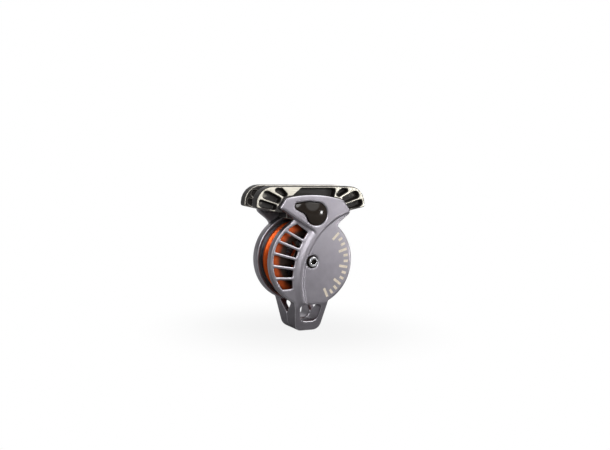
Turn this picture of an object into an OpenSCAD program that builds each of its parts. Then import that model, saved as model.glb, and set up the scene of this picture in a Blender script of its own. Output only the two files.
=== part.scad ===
// Assisted-braking belay device: a rope sheave with an overspeed pawl brake, held
// between two forged side plates. The front plate swings on the sheave's axle to let
// the rope in, and a press button keeps the plates together.
// Frame: X to the right, Y to the back, Z up. The origin is the centre of the eye
// that the carabiner passes through. Millimetres.

/* [Housing] */
// Radius of the round part of each side plate
disc_r = 33; // [32:0.5:36]
// Distance from the middle plane to a plate's outer face
half_t = 18; // [17:0.5:22]
// Thickness of a side plate's web
plate_t = 3; // [2:0.5:3.5]
// Thickness of the rim wall around the sheave
rim_wall = 2.4; // [1.8:0.2:3]
// Half width of the rope gap between the two rims
rope_gap_half = 9; // [7.5:0.5:10]
// Width of the chamfer round a plate's outer edge
edge_chamfer = 1.6; // [0.8:0.2:2.4]
// Gap on each side of the middle plane where the two halves meet
parting_gap = 0.3; // [0.2:0.1:0.6]

/* [Flank and vents] */
// Radius of the crease that bounds the sloping flank
crease_r = 55; // [53:0.5:57]
// Width of the bevel from the crease down to the flank
bevel_w = 4; // [3:0.2:5]
// Drop of that bevel
bevel_drop = 1.3; // [0.8:0.1:1.6]
// Width of the ridge left between that bevel and the sunk disc of the front plate
ridge_w = 2.4; // [1.6:0.2:3.2]
// Depth that the front plate's disc is sunk by
disc_sink = 0.6; // [0.3:0.1:0.8]
// Further drop of the front plate's flank for each millimetre away from the bevel
flank_slope = 0.09; // [0.04:0.01:0.12]
// Thickness of the front plate's flank
flank_t = 2.2; // [1.8:0.1:2.6]
// Number of vent windows in the flank
vent_count = 6; // [4:1:7]
// Width of the ribs between the vents
vent_rib_w = 2.2; // [1.4:0.2:3]
// Distance from the crease to the vents
vent_inset = 5.6; // [4.4:0.2:8]
// Width of the rim left outside the vents
vent_rim_w = 2.8; // [2.6:0.2:5]

/* [Head] */
// Height of the head's crown above the axle
head_top = 48.8; // [47:0.2:50]
// Radius of the head's crown
head_crown_r = 92; // [80:1:110]
// Depth of the step between head and flank groove
groove_w = 1.4; // [0.8:0.2:2]

/* [Rope guide] */
// Height of the guide's top above the axle
guide_top = 55; // [54:0.5:58]
// Distance from the middle to the tip of a wing
wing_span = 44.6; // [43:0.2:47]
// Radius of a wing's upper corner
wing_corner_r = 13; // [11:0.5:14]
// Height of a wing at its tip
wing_tip_h = 15.4; // [14:0.2:16]
// Rise of the guide's lower edge from the middle to the tips
wing_lift = 3.6; // [0:0.2:4]
// Width of the bright frame along the top of the guide
guide_frame = 1.6; // [1.2:0.1:2]
// Distance from the middle plane to the guide's inner face
guide_inner = 6.5; // [6:0.25:7.5]
// Depth of the windows in the outer face
window_depth = 5.5; // [2:0.5:5.5]
// Depth of the panels in the inner face
panel_depth = 1.5; // [0.5:0.1:1.7]
// Radius of the saddle that the rope bends over
saddle_r = 9.5; // [8:0.5:11]
// Half width of the block between the two rope throats
throat_inner = 13.5; // [12.5:0.5:14]
// Distance from the middle to the outer wall of a rope throat
throat_outer = 25.5; // [25:0.5:27]

/* [Leg and eye] */
// Distance from the eye's centre up to the axle
eye_to_axle = 38.5; // [38:0.5:41]
// Width of the eye at its top
eye_top_w = 18; // [16:0.5:19]
// Width of the eye at its foot
eye_foot_w = 13; // [11:0.5:14]
// Height of the eye
eye_h = 12.8; // [12:0.2:14]
// Width of the leg at its top
leg_top_w = 28; // [26:0.5:32]
// Width of the leg at its foot
leg_foot_w = 20; // [19:0.5:24]
// Thickness of the bar below the eye
eye_bar = 7.4; // [5:0.2:9]
// Distance from the middle plane to the leg's face at its foot
leg_foot_half_t = 11; // [9:0.5:13]

/* [Sheave] */
// Outer radius of the sheave's flanges
flange_r = 28.8; // [27:0.2:28.8]
// Radius of the rope groove's root
root_r = 21; // [19:0.5:22]
// Half width of the whole sheave
sheave_half_w = 8.6; // [8:0.1:8.8]
// Half width of the groove at its root
root_half_w = 3.5; // [3:0.25:4]
// Half width of the groove at its mouth
mouth_half_w = 6.6; // [6:0.1:7]
// Number of lightening windows in the front flange
flange_windows = 6; // [4:1:8]

/* [Axle] */
// Radius of the axle in the sheave
axle_r = 5; // [4.5:0.25:5.5]
// Radius of the journal that the front plate swings on
journal_r = 3; // [2.5:0.25:3.25]
// Wall of the sheave's bush
bush_wall = 1.5; // [1:0.25:2]
// Wall of the front plate's pivot bush
pivot_bush_wall = 1.6; // [1.2:0.2:2]
// Radius of the axle screw's head
screw_head_r = 3.8; // [3.6:0.1:4]
// Width across flats of the axle screw's hexagon socket
hex_af = 4; // [3:0.5:4]
// Running clearance of a turning fit, on the radius
running_gap = 0.05; // [0.03:0.01:0.08]

/* [Pawl brake] */
// Number of notches in the catch ring
notch_count = 8; // [8:4:8]
// Outer radius of the catch ring
catch_ring_r = 27; // [26:0.25:27.5]
// Inner radius of the catch ring's teeth
tooth_r = 20.4; // [20:0.1:21]
// Depth of the notches
notch_depth = 3.4; // [3:0.1:4]
// Distance from the axle to a pawl's pin
pawl_pin_x = 12; // [11.5:0.25:12.5]
// Radius of a pawl's pin
pawl_pin_r = 1.5; // [1.2:0.1:1.8]
// Outer radius of a pawl at rest
pawl_r = 18.4; // [18:0.1:18.8]
// Thickness of a pawl
pawl_t = 3.4; // [3:0.1:3.6]

/* [Button and latch] */
// Radius of the button's round end
button_r = 8.2; // [7.6:0.1:8.4]
// Height of the button's dome above the head
button_rise = 1.4; // [0.8:0.2:2]
// Clearance round the button in its pocket
button_gap = 0.35; // [0.25:0.05:0.5]
// Travel of the button
button_travel = 2.5; // [2:0.25:2.5]
// Radius of the latch pin's neck
latch_neck_r = 2; // [1.6:0.1:2.2]
// Radius of the latch pin's mushroom head
latch_head_r = 3.2; // [2.8:0.1:3.4]

/* [Hidden] */
$fn = 64;
little = 0.01;
far = 200;

// Faces along Y, as distances from the middle plane
web_inner = half_t - plate_t;
cup_r = disc_r - rim_wall;
// Crease centre and head points, in the axle's own frame (x, z)
crease_c = [45, -14];
crown_c = [-2, head_top - head_crown_r];
guide_outer = web_inner - 0.5;
// Seat of the guide's lower edge above the axle
wing_tip_z = guide_top - wing_tip_h;
guide_foot = wing_tip_z - wing_lift;
foot_x = 28;
// Centre block of the guide, between the rope throats
block_top = guide_top - 3;
// Eye and leg, measured down from the axle
eye_z = -eye_to_axle;
foot_z = eye_z - eye_h / 2 - eye_bar;
// Corners of the head's outline, with the radius of each
neck_left = polar(disc_r + 1.7, 121.5);
neck_right = polar(disc_r + 3.2, 52);
head_corners = [
    [-29.5, 36.6, 1.5], [-21.2, 48.6, 4], [-21.2, guide_top + 4, 0], [24.6, guide_top + 4, 0],
    [24.6, 45, 2.5], [30.9, 36.9, 1.6], [30, 34.5, 1.4], [neck_right.x, neck_right.y, 2.5],
    [15, 18, 0], [-12, 18, 0], [neck_left.x, neck_left.y, 2]
];
// Ends of the groove under the head
groove_ends = [[-25.2, 38], [0.2, 22.3]];
// Angles of the fan of vents about the crease's centre
vent_from = 144;
vent_to = 185;
vent_pitch = (vent_to - vent_from) / vent_count;
// Corners of a wing's three windows, as [in from the tip, down from the top, radius]
wing_windows = [
    [[2.5, 10.3, 0.8], [4, 9.9, 0.8], [16.3, 13.7, 0.9], [15.5, 17, 0.9], [5.2, 15.4, 1.6], [2.4, 13.6, 1.2]],
    [[5, 7.2, 0.9], [6.6, 3.8, 1], [9.5, 3.8, 1.6], [19.7, 8.8, 0.9], [17.7, 12.4, 0.9], [6.4, 8.7, 0.9]],
    [[14.5, 3.4, 0.8], [15.7, 1.7, 0.8], [20.2, 1.6, 1.2], [24.7, 6, 0.8], [22.4, 7.8, 0.8]]
];
// Corners of the long window along the top
top_window = [
    [-16, guide_top - 7.5, 0.5], [-9, guide_top - guide_frame, 1], [18.8, guide_top - guide_frame, 1],
    [19, guide_top - 3, 0.6], [17.4, guide_top - 9, 0.5]
];
// Centre of the saddle, and the rim left round its foot
saddle_at = [throat_outer + 2, guide_foot + 1.5];
saddle_rim = 1.2;
// Button: centre of its round end, and the corners of its tail with the radius of each
button_c = [2.4, 34.9];
button_tail = [
    [button_c.x, button_c.y, 0], [5.4, 42.2, 0], [-4, 44, 16], [-16, 42.4, 2], [-14.4, 38.7, 1.3],
    [-7, 35.1, 1.2], [-5.2, 32.2, 0]
];
button_back = half_t - plate_t - 0.2;
button_dome_r = 40;
// Latch pin and its T-slot
latch_at = [1, 39.5];
latch_swing_r = norm(latch_at);
latch_angle = atan2(latch_at.y, latch_at.x);
catch_t = 3.3;
catch_back = parting_gap + catch_t;
catch_r = [latch_swing_r - 5, latch_swing_r + 3.9];
catch_x = [-7, throat_inner];
latch_end_gap = 0.3;
latch_head_t = 2;
latch_slot_gap = 0.3;
spring_room_r = 4.2;
spring_floor = 6;
button_room = button_back - button_travel - 0.3;
// Sheave and brake stack along Y
bush_r = axle_r + running_gap;
hub_r = bush_r + bush_wall;
washer_r = 9;
washer_t = 1.5;
washer_back = -sheave_half_w - 0.1;
sleeve_r = 7.5;
axle_front = web_inner - 1.6;
collar_r = 7.5;
pivot_r = journal_r + running_gap + pivot_bush_wall;
screw_seat = half_t - 0.95;
screw_head_t = 2.4;
screw_shank_r = 1.6;
screw_end = 6;
hex_depth = 1.6;
pawl_web_gap = 0.9;
pawl_y = [web_inner - pawl_web_gap - pawl_t, web_inner - pawl_web_gap];
pin_head_t = 0.5;
pin_head_wall = 1;
pin_bite = 3.9;
ring_t = 4.7;
ring_y = [web_inner - ring_t, web_inner];
pawl_throw = 18;
pawl_boss_r = 4;
pawl_inner_r = 9.8;
pawl_nose_angle = 185;
pawl_nose_half = 4.6;
pawl_nose_reach = 2;
pawl_nose_r = tooth_r + pawl_nose_reach;
pawl_nose_root = 4.5;
pawl_body_from = 70;
pawl_body_to = 207;
pawl_tip_gap = 0.4;
notch_centre = 190.5;
notch_width = 27;
pawl_pin_angles = [90, 270];
// Wire springs
pawl_coil_r = 2.3;
pawl_wire_r = 0.28;
pawl_coil_turns = 1.4;
button_coil_r = 3.2;
button_wire_r = 0.3;
button_coil_turns = 3.5;
wire_sides = 6;
rings_per_turn = 10;
// Small screws: shank, head and head height
screw_r = 1.4;
screw_cap_r = 2.4;
screw_cap_t = 1.2;
screw_hex_r = 1.2;
seat_gap = 0.05;
sheave_screw_r = 15;
window_r = [12, 18.6];
window_spoke = 6;
ring_screw_r = 25.4;
ring_screw_angles = [120, 180, 240];
ring_screw_shank_r = 1;
ring_screw_cap_r = 1.7;
ring_screw_cap_t = 1;
ring_screw_bite = 3.6;
ring_screw_hex_r = 0.8;
sunk = 0.1;
tip_gap = 0.4;
guide_screw_at = [[-10.5, 45.4], [10.5, 44.2]];
guide_screw_bite = 1.8;
guide_screw_end = guide_outer + guide_screw_bite;

// Point at a radius and an angle
function polar(r, a) = [r * cos(a), r * sin(a)];

// Arc points that round one corner b between a and c with radius r
function corner_arc(a, b, c, r, steps = 6) =
    r == 0 ? [b] :
    let (u = (a - b) / norm(a - b), v = (c - b) / norm(c - b),
        half = acos(u * v) / 2,
        bisector = (u + v) / norm(u + v),
        centre = b + bisector * r / sin(half),
        from = b + u * r / tan(half) - centre,
        to = b + v * r / tan(half) - centre,
        start = atan2(from.y, from.x),
        turn = atan2(from.x * to.y - from.y * to.x, from * to))
    [for (i = [0 : steps]) centre + polar(r, start + turn * i / steps)];

// Outline through corners [x, z, radius], each rounded to its radius
function rounded(p) = [
    for (i = [0 : len(p) - 1])
        let (n = len(p), a = p[(i + n - 1) % n], b = p[i], c = p[(i + 1) % n])
        each corner_arc([a.x, a.y], [b.x, b.y], [c.x, c.y], b.z)
];

// Corners [x, z, radius] of an outline listed anticlockwise, each moved out so that its sides lie g further out
function spread(p, g) = [
    for (i = [0 : len(p) - 1])
        let (n = len(p), a = p[(i + n - 1) % n], b = p[i], c = p[(i + 1) % n],
            u = [b.x - a.x, b.y - a.y] / norm([b.x - a.x, b.y - a.y]),
            v = [c.x - b.x, c.y - b.y] / norm([c.x - b.x, c.y - b.y]),
            out = [u.y + v.y, -u.x - v.x] * g / (1 + u * v))
        [b.x + out.x, b.y + out.y, b.z]
];

// Drawing in the X-Z plane, given thickness from y0 to y1
module slab(y0, y1) rotate([90, 0, 0]) translate([0, 0, -y1]) linear_extrude(y1 - y0) children();

// Profile of (radius, y) turned about the axle
module turned() rotate([-90, 0, 0]) rotate_extrude() children();

// Round rod along Y at a point (x, z)
module rod(r, y0, y1, at = [0, 0]) translate([at.x, y0, at.y]) rotate([-90, 0, 0]) cylinder(r = r, h = y1 - y0);

// Ring along Y about the axle
module ring(r_in, r_out, y0, y1) turned() translate([r_in, y0]) square([r_out - r_in, y1 - y0]);

// Sector of the plane between two angles, less than half a turn
module fan(from, to) polygon([[0, 0], polar(far, from), polar(far, (from + to) / 2), polar(far, to)]);

// The back half is the front half turned half a turn about the upright axis
module turned_round() rotate([0, 0, 180]) children();

// Moves a piece from the axle's frame to the eye's frame
module in_place() translate([0, 0, eye_to_axle]) children();

// Coil of round wire along Y: a tube of triangles swept along a helix
module coil(r, wire_r, turns, y0, y1, at = [0, 0]) {
    count = round(turns * rings_per_turn);
    reach = y1 - y0 - 2 * wire_r;
    rings = [for (i = [0 : count]) for (k = [0 : wire_sides - 1])
        let (a = 360 * turns * i / count, w = 360 * k / wire_sides, d = r + wire_r * cos(w))
        [at.x + d * cos(a), y0 + wire_r + reach * i / count + wire_r * sin(w), at.y + d * sin(a)]];
    sides = [for (i = [0 : count - 1]) for (k = [0 : wire_sides - 1])
        let (a = i * wire_sides + k, b = i * wire_sides + (k + 1) % wire_sides)
        each [[a, b, a + wire_sides], [b, b + wire_sides, a + wire_sides]]];
    first = [for (k = [1 : wire_sides - 2]) [0, k + 1, k]];
    last = [for (k = [1 : wire_sides - 2]) [0, k, k + 1] + [1, 1, 1] * count * wire_sides];
    polyhedron(rings, concat(sides, first, last));
}

// Outline of the head: a wide cap with a shallow crown, on a neck
module head_outline() intersection() {
    translate(crown_c) circle(head_crown_r);
    polygon(rounded(head_corners));
}

// Outline of the leg that carries the eye
module leg_outline() polygon(rounded([
    [leg_top_w / 2, -disc_r * 0.6, 0], [leg_top_w / 2, -disc_r + 4, 0], [leg_foot_w / 2, foot_z, 6],
    [-leg_foot_w / 2, foot_z, 6], [-leg_top_w / 2, -disc_r + 4, 0], [-leg_top_w / 2, -disc_r * 0.6, 0]
]));

// Outline of the eye: a blunt wedge with rounded corners
module eye_outline() polygon(rounded([
    [eye_top_w / 2, eye_z + eye_h / 2, 2.5], [eye_foot_w / 2, eye_z - eye_h / 2, 5],
    [-eye_foot_w / 2, eye_z - eye_h / 2, 5], [-eye_top_w / 2, eye_z + eye_h / 2, 2.5]
]));

// Side view of the leg: its face runs in to a thin foot, and its back meets the other half
module leg_side() {
    profile = [
        [-half_t, -disc_r * 0.6], [-half_t, -disc_r + 4], [-leg_foot_half_t, foot_z],
        [-parting_gap, foot_z], [-parting_gap, eye_z - 1], [-rope_gap_half, -disc_r + 1.5],
        [-rope_gap_half, -disc_r * 0.6]
    ];
    translate([-far / 2, 0, 0]) rotate([90, 0, 90]) linear_extrude(far) polygon(profile);
}

// Round cup of a side plate, with a chamfered edge
module cup() turned() polygon([
    [0, -half_t], [disc_r - edge_chamfer, -half_t], [disc_r, -half_t + edge_chamfer],
    [disc_r, -rope_gap_half], [0, -rope_gap_half]
]);

// Flank of a plate: everything outside a bevelled cone about the crease's centre, below the groove
module flank(slope, lower = 0) {
    reach = 60;
    a = groove_ends[0];
    b = groove_ends[1];
    along = (b - a) / norm(b - a);
    face = -half_t + lower;
    intersection() {
        translate([crease_c.x, 0, crease_c.y]) turned() polygon([
            [crease_r, face], [crease_r + bevel_w, face + bevel_drop],
            [crease_r + reach, face + bevel_drop + (reach - bevel_w) * slope],
            [crease_r + reach, -half_t - 1], [crease_r, -half_t - 1]
        ]);
        slab(-half_t - 2, 0) polygon([
            a - along * reach, b + along * reach, [reach, -reach], [reach, foot_z - reach], [-2 * reach, foot_z - reach]
        ]);
    }
}

// Sunk disc of the front plate: everything inside the ridge, with a sloped edge as wide as it is deep
module disc_cut() translate([crease_c.x, 0, crease_c.y]) turned() polygon([
    [0, -half_t - 1], [crease_r - ridge_w + 1, -half_t - 1], [crease_r - ridge_w - disc_sink, -half_t + disc_sink],
    [0, -half_t + disc_sink]
]);

// Groove between head and flank
module groove_cut() {
    a = groove_ends[0];
    b = groove_ends[1];
    across = [a.y - b.y, b.x - a.x] / norm(a - b) * groove_w / 2;
    slab(-half_t - 1, -half_t + 1.2) polygon([a + across, b + across, b - across, a - across]);
}

// Fan of vent windows between the crease and the rim
module vents() slab(-half_t - 1, -rope_gap_half - 1) difference() {
    intersection() {
        circle(disc_r - vent_rim_w);
        translate(crease_c) difference() {
            fan(vent_from, vent_to);
            circle(crease_r + vent_inset, $fn = 180);
        }
    }
    translate(crease_c) for (i = [1 : vent_count - 1])
        rotate(vent_from + i * vent_pitch) translate([0, -vent_rib_w / 2]) square([far, vent_rib_w]);
}

// One side plate, in the front half's place, without its pivot hole. A floor keeps the web whole under a steep flank.
module side_plate(slope, floor) difference() {
    union() {
        cup();
        slab(-half_t, -guide_outer) head_outline();
        intersection() {
            leg_side();
            slab(-half_t, 0) leg_outline();
        }
    }
    difference() {
        rod(cup_r, -web_inner, half_t);
        if (floor) flank(slope, flank_t);
    }
    flank(slope);
    groove_cut();
    vents();
    slab(-half_t - 1, 1) eye_outline();
    for (p = guide_screw_at) rod(screw_r + seat_gap, -guide_screw_end - 0.2, 0, p);
}

module front_plate() color("#8f8c9c") difference() {
    side_plate(flank_slope, true);
    disc_cut();
    rod(pivot_r + seat_gap, -half_t - 1, -web_inner + 1);
    slab(-half_t - 1, -button_room) button_outline(button_gap);
}

module back_plate() color("#8f8c9c") difference() {
    turned_round() side_plate(0, false);
    rod(axle_r + seat_gap, web_inner - 1, half_t + 1);
    for (a = ring_screw_angles) {
        rod(ring_screw_shank_r + seat_gap, web_inner - 1, half_t + 1, polar(ring_screw_r, a));
        rod(ring_screw_cap_r + seat_gap, half_t - ring_screw_cap_t, half_t + 1, polar(ring_screw_r, a));
    }
}

// Outline of the whole guide: a long bar with rounded upper corners and a lower edge that rises to its tips
module guide_outline() polygon(rounded([
    [wing_span, wing_tip_z, 1.5], [wing_span, guide_top, wing_corner_r], [-wing_span, guide_top, wing_corner_r],
    [-wing_span, wing_tip_z, 1.5], [-foot_x, guide_foot, 0], [foot_x, guide_foot, 0]
]));

// The three windows of the right wing
module wing_window_outlines() for (w = wing_windows)
    polygon(rounded([for (c = w) [wing_span - c.x, guide_top - c.y, c.z]]));

// Saddle that the rope bends over, beside each throat
module saddle_outline(grow = 0) intersection() {
    translate(saddle_at) circle(saddle_r + grow);
    translate([throat_outer - grow, guide_foot]) square([far, far]);
    guide_outline();
}

// Middle of the guide, between the throats
module block_outline() translate([-throat_inner, disc_r - 3]) square([2 * throat_inner, block_top - disc_r + 3]);

// One rope guide, in the front half's place, without its latch holes
module guide() difference() {
    union() {
        slab(-guide_outer, -guide_inner) {
            guide_outline();
            block_outline();
        }
        slab(-guide_inner - little, -parting_gap) {
            block_outline();
            for (side = [0, 1]) mirror([side, 0]) saddle_outline();
        }
    }
    rod(disc_r + seat_gap, -guide_outer - 1, 1);
    slab(-guide_outer - 1, -guide_outer + window_depth) {
        for (side = [0, 1]) mirror([side, 0]) wing_window_outlines();
        polygon(rounded(top_window));
    }
    for (side = [0, 1]) mirror([side, 0, 0]) slab(-guide_inner - panel_depth, -guide_inner + 1) difference() {
        wing_window_outlines();
        saddle_outline(saddle_rim);
    }
    for (p = guide_screw_at) {
        rod(screw_r + seat_gap, -guide_outer - 1, 0, p);
        rod(screw_cap_r + seat_gap, -parting_gap - screw_cap_t, 0, p);
    }
}

module front_guide() color("#c9c9cf") difference() {
    guide();
    slab(-guide_outer - 1, -button_room) button_outline(button_gap);
    rod(spring_room_r, -guide_outer - 1, -spring_floor, latch_at);
    rod(latch_neck_r + running_gap, -guide_outer, 1, latch_at);
}

// Sector swept by the latch as the front half swings open
module latch_sweep(half_w) intersection() {
    difference() {
        circle(latch_swing_r + half_w);
        circle(latch_swing_r - half_w);
    }
    union() {
        fan(latch_angle - 40, latch_angle);
        translate(latch_at) circle(half_w);
    }
}

// Outline of the steel track let into the back guide
module track_outline(grow = 0) intersection() {
    difference() {
        circle(catch_r[1] + grow);
        circle(catch_r[0] - grow);
    }
    translate([catch_x[0] - grow, 0]) square([catch_x[1] - catch_x[0] + grow, far]);
}

module back_guide() color("#c9c9cf") difference() {
    turned_round() guide();
    slab(-1, catch_back) intersection() {
        track_outline(seat_gap);
        translate([-far, 0]) square([far + throat_inner + 1, far]);
    }
    slab(0, catch_back + latch_end_gap + latch_head_t + button_travel + 0.6) latch_sweep(latch_head_r + latch_slot_gap);
}

module catch_track() color("#6f7074") slab(parting_gap, catch_back) difference() {
    track_outline();
    latch_sweep(latch_neck_r + latch_slot_gap);
}

// Screws that hold a guide to its plate, heads on the inner side
module guide_screws() for (p = guide_screw_at) {
    rod(screw_r, -guide_screw_end, -parting_gap - screw_cap_t, p);
    difference() {
        rod(screw_cap_r, -parting_gap - screw_cap_t, -parting_gap, p);
        translate([p.x, -parting_gap - 0.8, p.y]) rotate([-90, 0, 0])
            cylinder(r = screw_hex_r, h = screw_cap_t, $fn = 6);
    }
}

module front_guide_screws() color("#54555a") guide_screws();

module back_guide_screws() color("#54555a") turned_round() guide_screws();

module pivot_bush() color("#b08d57") ring(journal_r + running_gap, pivot_r, -screw_seat + 0.15, -axle_front - 0.1);

module axle() color("#9a9ba0") difference() {
    turned() polygon([
        [0, -screw_seat], [journal_r, -screw_seat], [journal_r, -axle_front], [axle_r, -axle_front],
        [axle_r, sheave_half_w + 0.1], [collar_r, sheave_half_w + 0.1], [collar_r, web_inner],
        [axle_r, web_inner], [axle_r, half_t - sunk], [0, half_t - sunk]
    ]);
    rod(screw_shank_r + seat_gap, -half_t, -screw_end + 0.5);
}

module axle_screw() color("#d6d6da") {
    rod(screw_shank_r, -screw_seat - little, -screw_end);
    difference() {
        turned() polygon([
            [0, -screw_seat], [screw_head_r, -screw_seat], [screw_head_r, -screw_seat - screw_head_t + 0.6],
            [screw_head_r - 0.6, -screw_seat - screw_head_t], [0, -screw_seat - screw_head_t]
        ]);
        translate([0, -screw_seat - screw_head_t + hex_depth, 0]) rotate([90, 0, 0])
            cylinder(r = hex_af / sqrt(3), h = hex_depth + 1, $fn = 6);
    }
}

module spacer_sleeve() color("#7d7e83")
    ring(axle_r + seat_gap, sleeve_r, -axle_front + 0.2, washer_back - washer_t);

module thrust_washer() color("#b08d57") ring(axle_r + seat_gap, washer_r, washer_back - washer_t, washer_back);

// Cheek of the sheave: flat outside, sloped to the rope inside
module flange() turned() polygon([
    [hub_r + seat_gap, -sheave_half_w], [flange_r - 0.6, -sheave_half_w], [flange_r, -sheave_half_w + 0.6],
    [flange_r, -mouth_half_w], [root_r, -root_half_w], [hub_r + seat_gap, -root_half_w]
]);

// Holes for the three screws through the sheave
module sheave_screw_holes() for (a = [0, 120, 240])
    rod(screw_r + seat_gap, -far, far, polar(sheave_screw_r, a));

module wheel_front_flange() color("#e2571c") difference() {
    flange();
    sheave_screw_holes();
    slab(-sheave_half_w - 1, -root_half_w + 1) for (i = [0 : flange_windows - 1])
        rotate((i + 0.5) * 360 / flange_windows) intersection() {
            difference() {
                circle(window_r[1]);
                circle(window_r[0]);
            }
            fan(-180 / flange_windows, 180 / flange_windows);
            translate([window_spoke / 2 / sin(180 / flange_windows), 0]) fan(-180 / flange_windows, 180 / flange_windows);
        }
}

module wheel_rear_flange() color("#e2571c") difference() {
    mirror([0, 1, 0]) flange();
    sheave_screw_holes();
    for (a = pawl_pin_angles) rod(pawl_pin_r + seat_gap, sheave_half_w - pin_bite - tip_gap / 2, far, polar(pawl_pin_x, a));
}

module wheel_tread() color("#3a3a3e") difference() {
    ring(hub_r + seat_gap, root_r, -root_half_w, root_half_w);
    sheave_screw_holes();
}

module wheel_bush() color("#b08d57") ring(bush_r, hub_r, -sheave_half_w, sheave_half_w);

module wheel_screws() color("#8d8e93") for (a = [0, 120, 240]) {
    p = polar(sheave_screw_r, a);
    rod(screw_r, -sheave_half_w, sheave_half_w - 0.1, p);
    difference() {
        rod(screw_cap_r, -sheave_half_w - screw_cap_t, -sheave_half_w, p);
        translate([p.x, -sheave_half_w - 0.5, p.y]) rotate([90, 0, 0])
            cylinder(r = screw_hex_r, h = screw_cap_t, $fn = 6);
    }
}

module catch_ring() color("#66676c") difference() {
    ring(tooth_r, catch_ring_r, ring_y[0], ring_y[1]);
    slab(ring_y[0] - 1, ring_y[1] + 1) for (i = [0 : notch_count - 1])
        rotate(notch_centre + i * 360 / notch_count) intersection() {
            circle(tooth_r + notch_depth);
            fan(-notch_width / 2, notch_width / 2);
        }
    for (a = ring_screw_angles) rod(ring_screw_shank_r + seat_gap, web_inner - ring_screw_bite - tip_gap, far, polar(ring_screw_r, a));
}

module catch_ring_screws() color("#54555a") for (a = ring_screw_angles) {
    p = polar(ring_screw_r, a);
    rod(ring_screw_shank_r, web_inner - ring_screw_bite, half_t - ring_screw_cap_t, p);
    difference() {
        rod(ring_screw_cap_r, half_t - ring_screw_cap_t, half_t - sunk, p);
        translate([p.x, half_t - ring_screw_cap_t + 0.3, p.y]) rotate([-90, 0, 0])
            cylinder(r = ring_screw_hex_r, h = ring_screw_cap_t, $fn = 6);
    }
}

// Moves a drawing of the thrown-out pawl back to its rest place
module thrown_back() translate([0, pawl_pin_x]) rotate(pawl_throw) translate([0, -pawl_pin_x]) children();

// Pawl that hangs on the upper pin, drawn at rest
module pawl_outline() {
    intersection() {
        difference() {
            circle(pawl_r);
            circle(pawl_inner_r);
        }
        fan(pawl_body_from, pawl_body_to);
        thrown_back() circle(tooth_r - pawl_tip_gap);
    }
    translate([0, pawl_pin_x]) circle(pawl_boss_r);
    thrown_back() intersection() {
        difference() {
            circle(pawl_nose_r);
            circle(tooth_r - pawl_nose_root);
        }
        fan(pawl_nose_angle - pawl_nose_half, pawl_nose_angle + pawl_nose_half);
    }
}

module pawl() difference() {
    slab(pawl_y[0], pawl_y[1]) pawl_outline();
    rod(pawl_pin_r + running_gap, 0, far, [0, pawl_pin_x]);
}

module pawl_a() color("#a3a4a9") pawl();

module pawl_b() color("#a3a4a9") rotate([0, 180, 0]) pawl();

module pawl_pins() color("#d6d6da") for (a = pawl_pin_angles) {
    p = polar(pawl_pin_x, a);
    rod(pawl_pin_r, sheave_half_w - pin_bite, pawl_y[1] + sunk, p);
    rod(pawl_pin_r + pin_head_wall, pawl_y[1] + sunk - little, pawl_y[1] + sunk + pin_head_t, p);
}

module pawl_springs() color("#c2c3c8") for (a = pawl_pin_angles)
    coil(pawl_coil_r, pawl_wire_r, pawl_coil_turns, sheave_half_w, pawl_y[0] - 0.05, polar(pawl_pin_x, a));

// Comma outline of the button: a round end and a tail swept up to a blunt tip
module button_outline(grow = 0) {
    translate(button_c) circle(button_r + grow);
    polygon(rounded(spread(button_tail, grow)));
}

module release_button() color("#2b2b30") difference() {
    intersection() {
        slab(-half_t - button_rise, -button_back) button_outline();
        translate([0, button_dome_r - half_t - button_rise, 37]) sphere(button_dome_r, $fn = 180);
    }
    rod(latch_neck_r / 2 + seat_gap, -button_back - 2, 0, latch_at);
}

module latch_pin() color("#b9bac0") {
    rod(latch_neck_r / 2, -button_back - 1.8, -button_back + little, latch_at);
    rod(latch_neck_r, -button_back, catch_back + latch_end_gap + little, latch_at);
    rod(latch_head_r, catch_back + latch_end_gap, catch_back + latch_end_gap + latch_head_t, latch_at);
}

module button_spring() color("#c2c3c8")
    coil(button_coil_r, button_wire_r, button_coil_turns, -button_back, -spring_floor, latch_at);

in_place() front_plate();
in_place() front_guide();
in_place() front_guide_screws();
in_place() pivot_bush();
in_place() back_plate();
in_place() back_guide();
in_place() back_guide_screws();
in_place() catch_track();
in_place() axle();
in_place() axle_screw();
in_place() spacer_sleeve();
in_place() thrust_washer();
in_place() catch_ring();
in_place() catch_ring_screws();
in_place() wheel_front_flange();
in_place() wheel_rear_flange();
in_place() wheel_tread();
in_place() wheel_bush();
in_place() wheel_screws();
in_place() pawl_pins();
in_place() pawl_springs();
in_place() pawl_a();
in_place() pawl_b();
in_place() release_button();
in_place() latch_pin();
in_place() button_spring();
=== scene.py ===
"""Looks of the belay device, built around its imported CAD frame.

Lengths are in metres unless a name says mm."""

import math

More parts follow.
